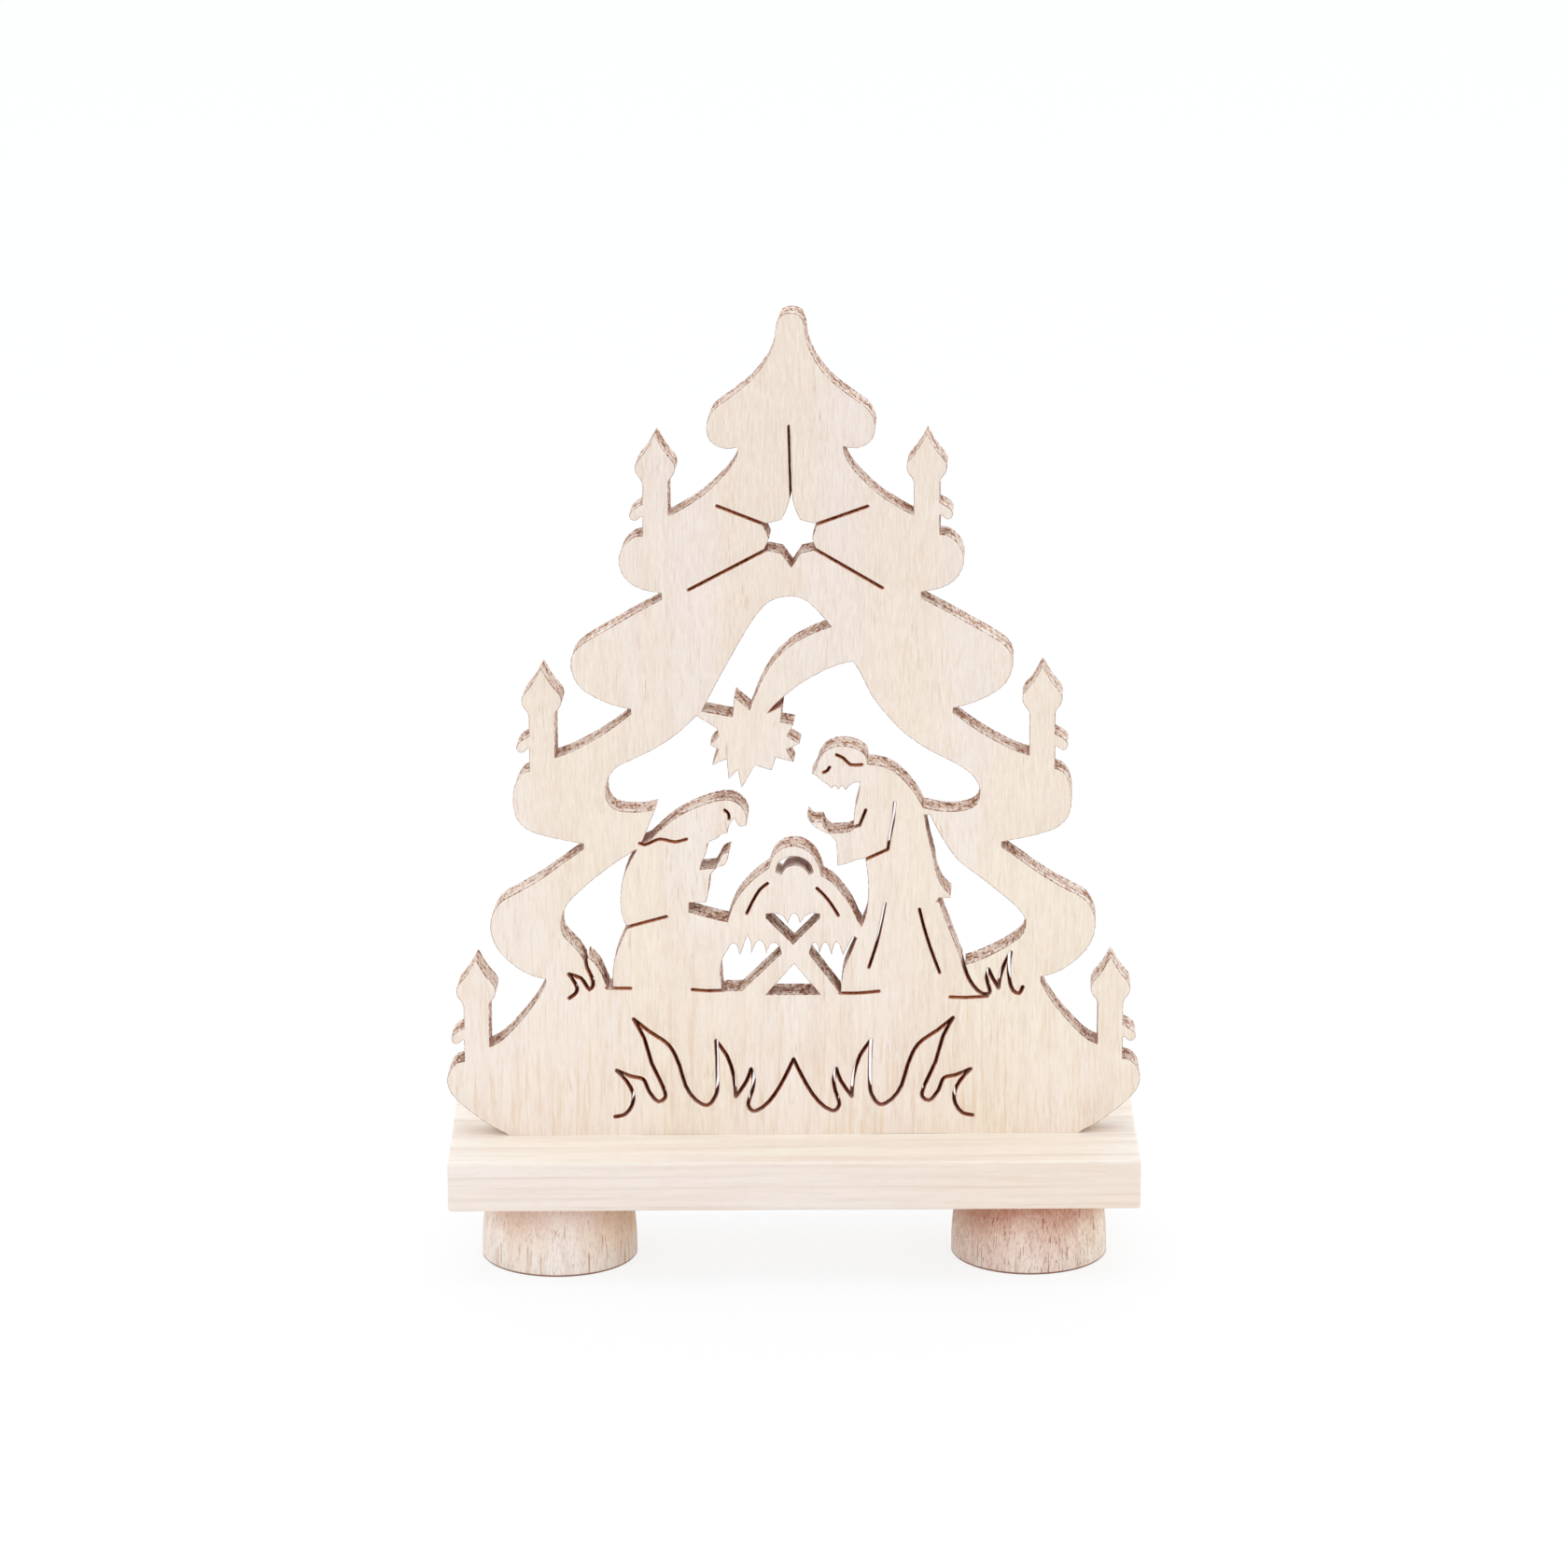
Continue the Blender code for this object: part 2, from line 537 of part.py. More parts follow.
def lower_grass():
    """The long cut that draws the tufts of grass under the scene."""
    half = [[(0, 6.5), (0.7, 5.0), (1.6, 3.4), (2.6, 2.3), (3.4, 2.0), (3.78, 2.5), (3.45, 3.7),
             (3.3, 4.7), (3.53, 5.65)],
            [(3.9, 4.6), (4.8, 3.25)],
            [(4.95, 5.0), (5.5, 6.8), (6.4, 8.12)],
            [(6.3, 5.0), (6.45, 3.4), (7.15, 2.52), (8.1, 2.95), (8.95, 4.2), (9.45, 6.0), (10.3, 7.75),
             (11.9, 8.95), (13.2, 10.03)],
            [(12.35, 8.4), (11.75, 6.2), (10.85, 4.2), (10.65, 3.2), (11.2, 2.85), (12.0, 3.75),
             (12.45, 4.8), (13.4, 5.05), (14.65, 5.58)],
            [(13.8, 4.6), (13.3, 3.5), (13.4, 2.55), (14.0, 1.75), (14.83, 1.55)]]
    both = [half, flipped(*half)]
    return [cut for runs in both for cut in cut_along(*runs, width=GRASS_CUT_WIDTH)]


def counter_clockwise(loop):
    """The loop, turned round if it runs clockwise."""
    area = sum(near.cross(far) for near, far in zip(loop, loop[1:] + loop[:1]))
    return loop if area > 0 else loop[::-1]


def sheet_with_holes(edge, holes):
    """A flat mesh, facing -Y, of the sheet inside the edge and outside every hole."""
    points, faces = [], []
    for loop in [edge, *holes]:
        faces.append(list(range(len(points), len(points) + len(loop))))
        points += [point / MM for point in counter_clockwise(loop)]
    result = delaunay_2d_cdt(points, [], faces, 1, WELD_DISTANCE / MM, True)
    corners, triangles, sources = result[0], result[2], result[5]
    solid = [triangle for triangle, source in zip(triangles, sources) if list(source) == [0]]

    mesh = bmesh.new()
    made = {}
    for index in sorted({index for triangle in solid for index in triangle}):
        made[index] = mesh.verts.new((corners[index].x * MM, 0, corners[index].y * MM))
    for triangle in solid:
        mesh.faces.new([made[index] for index in triangle])
    return mesh


def make_panel():
    """The carved panel, its origin in the middle of its foot."""
    holes = [star(), arch(), scene(), left_window(), right_window(), child_hood(), straw_notch(),
             crib_window_left(), crib_window_right(), crib_window_low(),
             *star_rays(), *figure_folds(), *ground_cuts(), *lower_grass()]
    plywood = wood("birch plywood", (0.80, 0.68, 0.55), 0.65)
    sheet = sheet_with_holes(tree_edge(), holes)
    panel = place("tree_panel", sheet, (0, 0, PANEL_BOTTOM), plywood)
    thicken = panel.modifiers.new("sheet thickness", "SOLIDIFY")
    thicken.thickness = PANEL_THICKNESS
    thicken.offset = 0
    return panel


def make_base():
    """The plank, with a blind slot for each tenon and a blind hole for each dowel."""
    lime = wood("lime plank", (0.84, 0.72, 0.56), 0.6)
    base = block("base_plank", (BASE_LENGTH, BASE_DEPTH, BASE_THICKNESS), (0, 0, BASE_BOTTOM), lime)
    edges = base.modifiers.new("rounded edges", "BEVEL")
    edges.width = BASE_EDGE_ROUND
    edges.segments = 3

    slot_bottom = BASE_BOTTOM + SLOT_FLOOR
    slot = (TENON_WIDTH + 2 * GLUE_LINE, PANEL_THICKNESS + 2 * GLUE_LINE,
            BASE_TOP + CUTTER_OVERSHOOT - slot_bottom)
    hole_bottom = BASE_BOTTOM - CUTTER_OVERSHOOT
    hole_top = BASE_TOP - DOWEL_ROOF
    hole = [(0, 0), (DOWEL_HOLE_RADIUS, 0), (DOWEL_HOLE_RADIUS, hole_top - hole_bottom),
            (0, hole_top - hole_bottom)]
    for side, word in ((-1, "left"), (1, "right")):
        cut_away(base, block("slot guide " + word, slot, (side * TENON_SPACING / 2, 0, slot_bottom)))
        cut_away(base, turned("hole guide " + word, hole, (side * FOOT_X, 0, hole_bottom), None))
    return base


def foot_profile():
    """A foot's section: underside, straight rim, a side that leans in more and more, dowel hole."""
    widest, straight = FOOT_DIAMETER / 2, FOOT_STRAIGHT_HEIGHT
    profile = [(0, 0), (widest - FOOT_EDGE, 0), (widest, FOOT_EDGE)]
    for step in range(SHOULDER_STEPS + 1):
        share = step / SHOULDER_STEPS
        height = straight + share * (FOOT_HEIGHT - FOOT_EDGE - straight)
        profile.append((widest - FOOT_TOP_TAPER * share ** 2, height))
    profile += [(widest - FOOT_TOP_TAPER - FOOT_EDGE, FOOT_HEIGHT), (DOWEL_HOLE_RADIUS, FOOT_HEIGHT),
                (DOWEL_HOLE_RADIUS, DOWEL_FLOOR), (0, DOWEL_FLOOR)]
    return profile


def make_feet():
    """Both feet and the dowels that hold them under the plank."""
    beech = wood("turned beech", (0.66, 0.49, 0.38), 0.6)
    peg = wood("beech dowel", (0.72, 0.55, 0.38), 0.6)
    radius, length = DOWEL_DIAMETER / 2, DOWEL_TOP - DOWEL_BOTTOM
    dowel = [(0, 0), (radius - DOWEL_EDGE, 0), (radius, DOWEL_EDGE), (radius, length - DOWEL_EDGE),
             (radius - DOWEL_EDGE, length), (0, length)]
    for side, word in ((-1, "left"), (1, "right")):
        turned("foot_" + word, foot_profile(), (side * FOOT_X, 0, 0), beech)
        turned("dowel_" + word, dowel, (side * FOOT_X, 0, DOWEL_BOTTOM), peg)


clear_scene()
make_base()
make_feet()
make_panel()
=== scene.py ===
"""Looks of the carved nativity tree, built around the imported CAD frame.

Everything is in metres in the CAD frame: +Z is up and the panel's carved front faces -Y. The panel and
the turned feet get finer meshes in the place of their CAD nodes; the plank and the dowels keep theirs.
"""
import math

import bmesh
import bpy
from mathutils import Matrix, Vector
from mathutils.bvhtree import BVHTree
from mathutils.geometry import delaunay_2d_cdt


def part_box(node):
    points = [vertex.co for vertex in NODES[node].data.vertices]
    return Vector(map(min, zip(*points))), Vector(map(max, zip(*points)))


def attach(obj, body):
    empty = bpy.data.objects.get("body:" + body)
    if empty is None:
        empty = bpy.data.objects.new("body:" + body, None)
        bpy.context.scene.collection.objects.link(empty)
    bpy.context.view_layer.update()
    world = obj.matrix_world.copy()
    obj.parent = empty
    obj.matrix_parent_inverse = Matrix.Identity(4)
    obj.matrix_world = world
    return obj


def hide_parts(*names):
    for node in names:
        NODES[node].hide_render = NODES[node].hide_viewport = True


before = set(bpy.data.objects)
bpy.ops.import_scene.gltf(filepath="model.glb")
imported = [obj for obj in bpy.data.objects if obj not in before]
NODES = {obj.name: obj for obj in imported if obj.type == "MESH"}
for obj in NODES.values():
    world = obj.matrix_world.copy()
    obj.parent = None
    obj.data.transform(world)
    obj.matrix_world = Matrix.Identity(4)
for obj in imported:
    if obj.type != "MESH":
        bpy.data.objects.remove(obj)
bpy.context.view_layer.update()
MM = 0.001

# Points nearer to each other than this are one, faces that look more to -Y than this are the front, and
# two directions whose sum is shorter than this are opposite
SAME_POINT = 0.001 * MM
FRONT_NORMAL = -0.999
OPPOSITE = 1e-6

# Triangles that fill outlines: only those inside, with points told apart down to this many millimetres
FILL_INSIDE = 1
FILL_PRECISION = 1e-5

# The panel's rim is softened, its long edges are split so that its scorch and painted shade can change
# along them, and its walls have this many steps from front to back
RIM = 0.045 * MM
RIM_DEPTH = 0.03 * MM
EDGE_PIECE = 0.4 * MM
WALL_STEPS = 6
PANEL_SHARP_ANGLE = 34
VENEER_SLOT = 0
CUT_SLOT = 1

# The sheet has three plies. Its foot, beside the tenons in the middle, is glued down on the plank
PLY = 1.0 * MM
GLUE_LINE = 0.05 * MM
SEATED_GAP = 0.003 * MM
FOOT_SEARCH = 0.01 * MM
TENON_REACH = 15 * MM

# A cut narrows towards the back on each side, a thin one more than a wide opening, and in waves about a
# mean share of its taper. It leans to the right, at the foot less than higher up, and the panel's own
# edge not at all at its foot
WIDE_TAPER = 0.02 * MM
THIN_TAPER = 0.035 * MM
TAPER_MEAN = 0.85
TAPER_WAVE = 0.3
WAVE_ACROSS = 0.55 * MM
WAVE_UP = 0.8 * MM
WAVE_SHORT = 0.37 * MM
CUT_LEAN = 0.15 * MM
FOOT_LEAN_SHARE = 0.3
FULL_LEAN_HEIGHT = 20 * MM
EDGE_LEAN_HEIGHT = 0.4 * MM

# A wall's scorch and its painted shade come from how far a fan of rays gets that looks out of it, and
# a cut is thin or open by how far the fan's middle ray gets. The turn between two rays is in degrees
REACH = 2.4 * MM
FAN_SIDE_RAYS = 4
FAN_TURN = 17
RAY_START = 0.01 * MM
WALL_REACH = 10 * MM
THIN_CUT = 0.35 * MM
OPEN_CUT = 0.7 * MM

# The feet are turned in this many steps. Each has a hole for its dowel, wider by the glue line and
# deeper by the end gap; what lies within the inner radius is not the foot's outer side
FOOT_STEPS = 144
FOOT_SHARP_ANGLE = 40
DOWEL_END_GAP = 0.3 * MM
INNER_RADIUS = 3 * MM

# The camera comes from the photograph: it looks down by 15.6 degrees through a long lens
CAMERA_AT = (-0.68 * MM, -516.2 * MM, 184.6 * MM)
CAMERA_PITCH = math.radians(90 - 15.6)
CAMERA_ROLL = math.radians(-0.28)
CAMERA_RANGE = (0.01, 20.0)
FOCAL_PIXELS = 7000.0
PHOTO_PIXELS = 1680.0
SENSOR = 36.0

# The world's light: AMBIENT in front, rising to BACKDROP where the direction's part towards the back and
# a share of its part towards the side add up to BACKDROP_FULL
AMBIENT = 0.38
BACKDROP = 1.15
SIDE_SHARE = 0.65
BACKDROP_FULL = 0.7
WHITE = (1.0, 1.0, 1.0, 1.0)

# The floor has its colour for the light alone. The camera sees a darker one, so that the shadow is
# faint, with a glow that makes it white
FLOOR_HALF = 6.0
FLOOR_COLOUR = (0.96, 0.955, 0.94, 1)
SHADOW_SHARE = 0.21
SHADOW_TINT = (0.94, 0.98, 1.01)
FLOOR_GLOW = 0.795

# Soft boxes: name, place and side in metres, power in watts. They point at the middle of the tree
SOFTBOXES = (
    ("key", (-1.0, -1.8, 0.95), 1.3, 8.8),
    ("fill", (1.2, -1.7, 0.85), 1.3, 7.4),
    ("top", (0.0, -0.6, 2.4), 1.6, 15),
)
LIT_POINT = (0, 0, 0.04)

# Sockets of a Mix node for colours, whose names it shares with its other kinds
MIX_FIRST = 6
MIX_SECOND = 7
MIX_RESULT = 2


def clamped(value):
    """The value, at least 0 and at most 1."""
    return min(1.0, max(0.0, value))


def linear(red, green, blue):
    """An sRGB colour of 0 to 255 as the linear colour that a shader takes."""
    def one(value):
        value /= 255
        return value / 12.92 if value <= 0.04045 else ((value + 0.055) / 1.055) ** 2.4
    return one(red), one(green), one(blue), 1.0


class Graph:
    """Builds the node tree of a material or of the world."""

    def __init__(self, owner, coordinates="Object"):
        owner.use_nodes = True
        self.owner = owner
        self.nodes = owner.node_tree.nodes
        self.links = owner.node_tree.links
        self.place = self.new("ShaderNodeTexCoord").outputs[coordinates]

    def new(self, kind, **settings):
        """A new node with its settings."""
        node = self.nodes.new(kind)
        for name, value in settings.items():
            setattr(node, name, value)
        return node

    def join(self, source, target):
        """Links an output to an input, or writes a plain value into it."""
        if isinstance(source, bpy.types.NodeSocket):
            self.links.new(source, target)
        else:
            target.default_value = source

    def axes(self, vector):
        """The X, Y and Z of a vector."""
        node = self.new("ShaderNodeSeparateXYZ")
        self.join(vector, node.inputs[0])
        return node.outputs

    def upward(self):
        """How far the surface looks up, from -1 to 1."""
        return self.axes(self.new("ShaderNodeNewGeometry").outputs["Normal"])[2]

    def attribute(self, name):
        """A number that the mesh holds at each point."""
        return self.new("ShaderNodeAttribute", attribute_name=name).outputs["Fac"]

    def scaled(self, per_mm, shift=(0, 0, 0)):
        """The coordinates times a frequency per millimetre along each axis."""
        node = self.new("ShaderNodeMapping")
        self.join(self.place, node.inputs["Vector"])
        node.inputs["Scale"].default_value = [value / MM for value in per_mm]
        node.inputs["Location"].default_value = shift
        return node.outputs["Vector"]

    def noise(self, per_mm, shift, detail=2.0, roughness=0.5):
        """Noise with a frequency per millimetre along each axis."""
        node = self.new("ShaderNodeTexNoise")
        self.join(self.scaled(per_mm, shift), node.inputs["Vector"])
        node.inputs["Scale"].default_value = 1.0
        node.inputs["Detail"].default_value = detail
        node.inputs["Roughness"].default_value = roughness
        return node.outputs["Fac"]

    def math(self, operation, *values):
        """The result of a Math node."""
        node = self.new("ShaderNodeMath", operation=operation)
        for value, socket in zip(values, node.inputs):
            self.join(value, socket)
        return node.outputs[0]

    def total(self, *terms):
        """The sum of values, each times its weight."""
        parts = [self.math("MULTIPLY", value, weight) for value, weight in terms]
        result = parts[0]
        for part in parts[1:]:
            result = self.math("ADD", result, part)
        return result

    def span(self, value, low, high, to_low=0.0, to_high=1.0):
        """The value brought smoothly from low..high to to_low..to_high, and clamped."""
        node = self.new("ShaderNodeMapRange", interpolation_type="SMOOTHSTEP")
        self.join(value, node.inputs["Value"])
        for name, number in (("From Min", low), ("From Max", high), ("To Min", to_low), ("To Max", to_high)):
            node.inputs[name].default_value = number
        return node.outputs["Result"]

    def mix(self, factor, first, second):
        """The first colour where the factor is 0, the second where it is 1."""
        node = self.new("ShaderNodeMix", data_type="RGBA")
        self.join(factor, node.inputs["Factor"])
        self.join(first, node.inputs[MIX_FIRST])
        self.join(second, node.inputs[MIX_SECOND])
        return node.outputs[MIX_RESULT]

    def tinted(self, colour, value, low, high, share, tint):
        """The colour with more of an sRGB tint as the value rises from low to high, up to a share."""
        return self.mix(self.span(value, low, high, 0.0, share), colour, linear(*tint))

    def overlaid(self, colour, mask, share, tint):
        """The colour with a share of an sRGB tint where the mask is 1."""
        return self.mix(self.math("MULTIPLY", mask, share), colour, linear(*tint))

    def seen_directly(self):
        """1 where a camera, glossy or transmission ray arrives, else 0."""
        path = self.new("ShaderNodeLightPath").outputs
        seen = self.math("MAXIMUM", path["Is Camera Ray"], path["Is Glossy Ray"])
        return self.math("MAXIMUM", seen, path["Is Transmission Ray"])

    def emboss(self, relief, height):
        """Bumps the surface by a relief, whose height is in metres."""
        node = self.new("ShaderNodeBump")
        node.inputs["Strength"].default_value = 1.0
        node.inputs["Distance"].default_value = height
        self.join(relief, node.inputs["Height"])
        self.join(node.outputs["Normal"], self.nodes["Principled BSDF"].inputs["Normal"])

    def finish(self, colour, roughness, specular=0.3):
        """Gives the surface its colour, roughness and shine, and returns the material."""
        shader = self.nodes["Principled BSDF"]
        self.join(colour, shader.inputs["Base Color"])
        self.join(roughness, shader.inputs["Roughness"])
        shader.inputs["Specular IOR Level"].default_value = specular
        return self.owner


def veneer():
    """Pale birch veneer, its grain upright: short fine dashes in slow bands, warmer near the foot, with
    painted light low down that turns to painted shade towards the tip.
    """
    g = Graph(bpy.data.materials.new("birch veneer"))
    height = g.axes(g.place)[2]
    broad = g.noise((0.16, 0.05, 0.018), (3, 1, 7))
    bands = g.noise((1.1, 0.3, 0.05), (11, 5, 2), 3.0, 0.6)
    fine = g.noise((5.5, 2.0, 0.42), (5, 9, 4), 4.0, 0.7)
    hair = g.noise((11.0, 5.0, 1.1), (2, 3, 8), 2.0, 0.6)
    dashes = g.span(g.noise((8.5, 3.0, 0.45), (17, 3, 1)), 0.62, 0.74)
    dash_zones = g.span(g.noise((0.5, 0.2, 0.07), (1, 13, 5)), 0.4, 0.66)
    dashes = g.math("MULTIPLY", dashes, dash_zones)
    low_streaks = g.span(g.noise((3.4, 1.0, 0.2), (6, 3, 9), 3.0, 0.6), 0.5, 0.68)
    low_streaks = g.math("MULTIPLY", low_streaks, g.span(height, 14 * MM, 34 * MM, 0.5, 0.0))

    # Painted light near the foot and painted shade towards the tip: the colour darkens as the height rises
    painted_shade_to_tip = g.span(height, 15 * MM, 75 * MM)
    pale = g.mix(painted_shade_to_tip, linear(248, 237, 228), linear(237, 225, 219))
    warm = g.mix(painted_shade_to_tip, linear(247, 235, 218), linear(236, 223, 210))
    colour = g.mix(g.span(broad, 0.38, 0.62), pale, warm)
    colour = g.tinted(colour, bands, 0.4, 0.75, 0.5, (234, 216, 202))
    colour = g.tinted(colour, fine, 0.44, 0.72, 0.5, (222, 200, 180))
    colour = g.tinted(colour, hair, 0.42, 0.68, 0.45, (252, 244, 238))
    colour = g.overlaid(colour, dashes, 0.6, (206, 174, 146))
    colour = g.mix(low_streaks, colour, linear(232, 206, 174))
    g.emboss(g.total((fine, 0.7), (hair, 0.5), (dashes, -1.0)), 0.010 * MM)
    return g.finish(colour, g.span(fine, 0.3, 0.7, 0.58, 0.74))


def burnt_cut():
    """Laser-cut plywood edge: three plies, pale with scorched specks, red-brown in narrow cuts, with painted
    shade where nearby wood closes it in and painted light on upward ledges and in half-closed corners.

    The depth runs from -1.5 mm at the sheet's front to 1.5 mm at its back.
    """
    g = Graph(bpy.data.materials.new("burnt plywood edge"))
    burn = g.attribute("burn")
    thin = g.attribute("thin")
    depth = g.axes(g.place)[1]
    from_middle = g.math("ABSOLUTE", depth)
    wave = g.span(g.noise((1.2, 0.4, 1.2), (5, 5, 1), 3.0, 0.6), 0.2, 0.8, -0.1 * MM, 0.1 * MM)
    glue = g.math("ABSOLUTE", g.math("ADD", g.math("SUBTRACT", from_middle, PLY / 2), wave))
    glue = g.span(glue, 0.02 * MM, 0.10 * MM, 1.0, 0.0)
    middle_ply = g.span(from_middle, 0.42 * MM, 0.52 * MM, 1.0, 0.0)
    near_front = g.span(depth, -1.5 * MM, -1.2 * MM, 1.0, 0.0)
    near_back = g.span(depth, 0.3 * MM, 1.3 * MM)
    specks = g.noise((3.6, 1.5, 3.6), (4, 1, 6), 5.0, 0.75)
    clouds = g.noise((0.7, 0.9, 0.7), (9, 2, 3), 2.0, 0.5)
    grit = g.noise((8.0, 4.0, 8.0), (1, 8, 2), 3.0, 0.7)

    # Painted shade: on top of its real scorch, the wall darkens as nearby wood closes the view out of it
    shade_closed_in = g.span(burn, 0.3, 0.5)
    dark = g.total((specks, 1.7), (clouds, 0.7), (grit, 0.6), (glue, 0.12), (middle_ply, 0.06),
                   (shade_closed_in, 0.04), (near_front, 0.06), (near_back, 0.10), (burn, 0.22))
    dark = g.math("ADD", dark, g.span(burn, 0.4, 0.8, 0.0, 0.2))
    # Painted light: walls that look up are made paler, as if lit from above
    painted_light_on_ledges = g.math("MULTIPLY", g.span(g.upward(), 0.5, 1.0, 0.0, 0.2), g.span(burn, 0.34, 0.5))
    dark = g.math("SUBTRACT", dark, painted_light_on_ledges)
    scorched_rim = g.math("MULTIPLY", g.span(depth, -1.48 * MM, -1.42 * MM, 1.0, 0.0),
                          g.span(specks, 0.36, 0.56, 0.2, 0.9))

    colour = g.mix(g.span(grit, 0.35, 0.65), linear(252, 244, 238), linear(236, 222, 212))
    colour = g.overlaid(colour, middle_ply, 0.45, (226, 200, 176))
    colour = g.tinted(colour, dark, 1.49, 1.64, 1.0, (200, 161, 138))
    colour = g.tinted(colour, dark, 1.65, 1.79, 1.0, (124, 76, 54))
    colour = g.mix(scorched_rim, colour, linear(140, 90, 62))
    # Painted light: walls in half-closed corners take a pale pinkish white, standing in for the light that
    # reaches into them
    painted_light_in_hollows = g.mix(g.span(grit, 0.40, 0.52), linear(222, 174, 160), linear(255, 250, 246))
    colour = g.mix(g.span(burn, 0.5, 0.64, 0.0, 0.95), colour, painted_light_in_hollows)
    colour = g.overlaid(colour, glue, 0.4, (150, 104, 84))
    colour = g.tinted(colour, thin, 0.25, 0.7, 0.6, (180, 122, 98))
    narrow = g.mix(g.span(dark, 1.6, 2.05), linear(255, 186, 138), linear(168, 88, 54))
    colour = g.mix(g.math("MULTIPLY", thin, g.span(burn, 0.7, 0.82)), colour, narrow)
    g.emboss(g.total((grit, 0.8), (specks, 0.6), (glue, -0.4)), 0.03 * MM)
    return g.finish(colour, g.span(dark, 1.3, 1.8, 0.62, 0.9), 0.12)


def plank_wood():
    """Pale lime plank, its grain along X: fine straight streaks and faint year rings, with painted light on
    its top and near its ends.
    """
    g = Graph(bpy.data.materials.new("lime"))
    along = g.axes(g.place)[0]
    mm = g.axes(g.scaled((1, 1, 1)))
    warp = g.noise((0.018, 0.2, 0.2), (2, 6, 1))
    rings = g.math("MULTIPLY", g.total((mm[2], 1.5), (mm[1], 0.55), (warp, 2.0)), 0.75)
    ring = g.math("FRACT", rings)
    late_wood = g.math("MULTIPLY", g.span(ring, 0.5, 0.94), g.span(ring, 0.94, 1.0, 1.0, 0.0))
    ring_zones = g.span(g.noise((0.05, 0.9, 0.9), (3, 9, 2)), 0.35, 0.65)
    late_wood = g.math("MULTIPLY", late_wood, ring_zones)
    streak = g.noise((0.07, 2.2, 2.2), (7, 2, 9), 4.0, 0.6)
    fine = g.noise((0.25, 6.0, 6.0), (1, 5, 3), 2.0, 0.6)
    broad = g.noise((0.03, 0.3, 0.3), (5, 5, 8))
    mottle = g.noise((0.8, 3.4, 3.4), (8, 1, 4), 3.0, 0.6)

    top = g.span(g.upward(), 0.05, 0.75)
    rightward = g.math("MULTIPLY", g.span(along, -6 * MM, 20 * MM), g.span(top, 0.0, 1.0, 0.75, 0.35))
    # Painted light: the top grows whiter towards the plank's ends
    painted_light_at_ends = g.span(g.math("ABSOLUTE", along), 22.5 * MM, 28.4 * MM, 0.0, 0.75)
    # Painted light: the top is paler than the sides, as if lit from above
    colour = g.mix(top, linear(248, 238, 234), linear(255, 251, 242))
    colour = g.mix(rightward, colour, linear(242, 228, 212))
    colour = g.mix(g.math("MULTIPLY", painted_light_at_ends, top), colour, linear(255, 253, 248))
    colour = g.tinted(colour, broad, 0.35, 0.7, 0.5, (242, 228, 214))
    colour = g.overlaid(colour, late_wood, 0.45, (222, 202, 186))
    colour = g.tinted(colour, streak, 0.42, 0.75, 0.45, (230, 212, 196))
    colour = g.tinted(colour, fine, 0.35, 0.75, 0.3, (252, 246, 240))
    colour = g.tinted(colour, mottle, 0.45, 0.75, 0.3, (232, 216, 204))
    g.emboss(g.total((streak, 0.7), (fine, 0.4), (late_wood, -0.3)), 0.012 * MM)
    return g.finish(colour, g.span(streak, 0.3, 0.7, 0.55, 0.7))


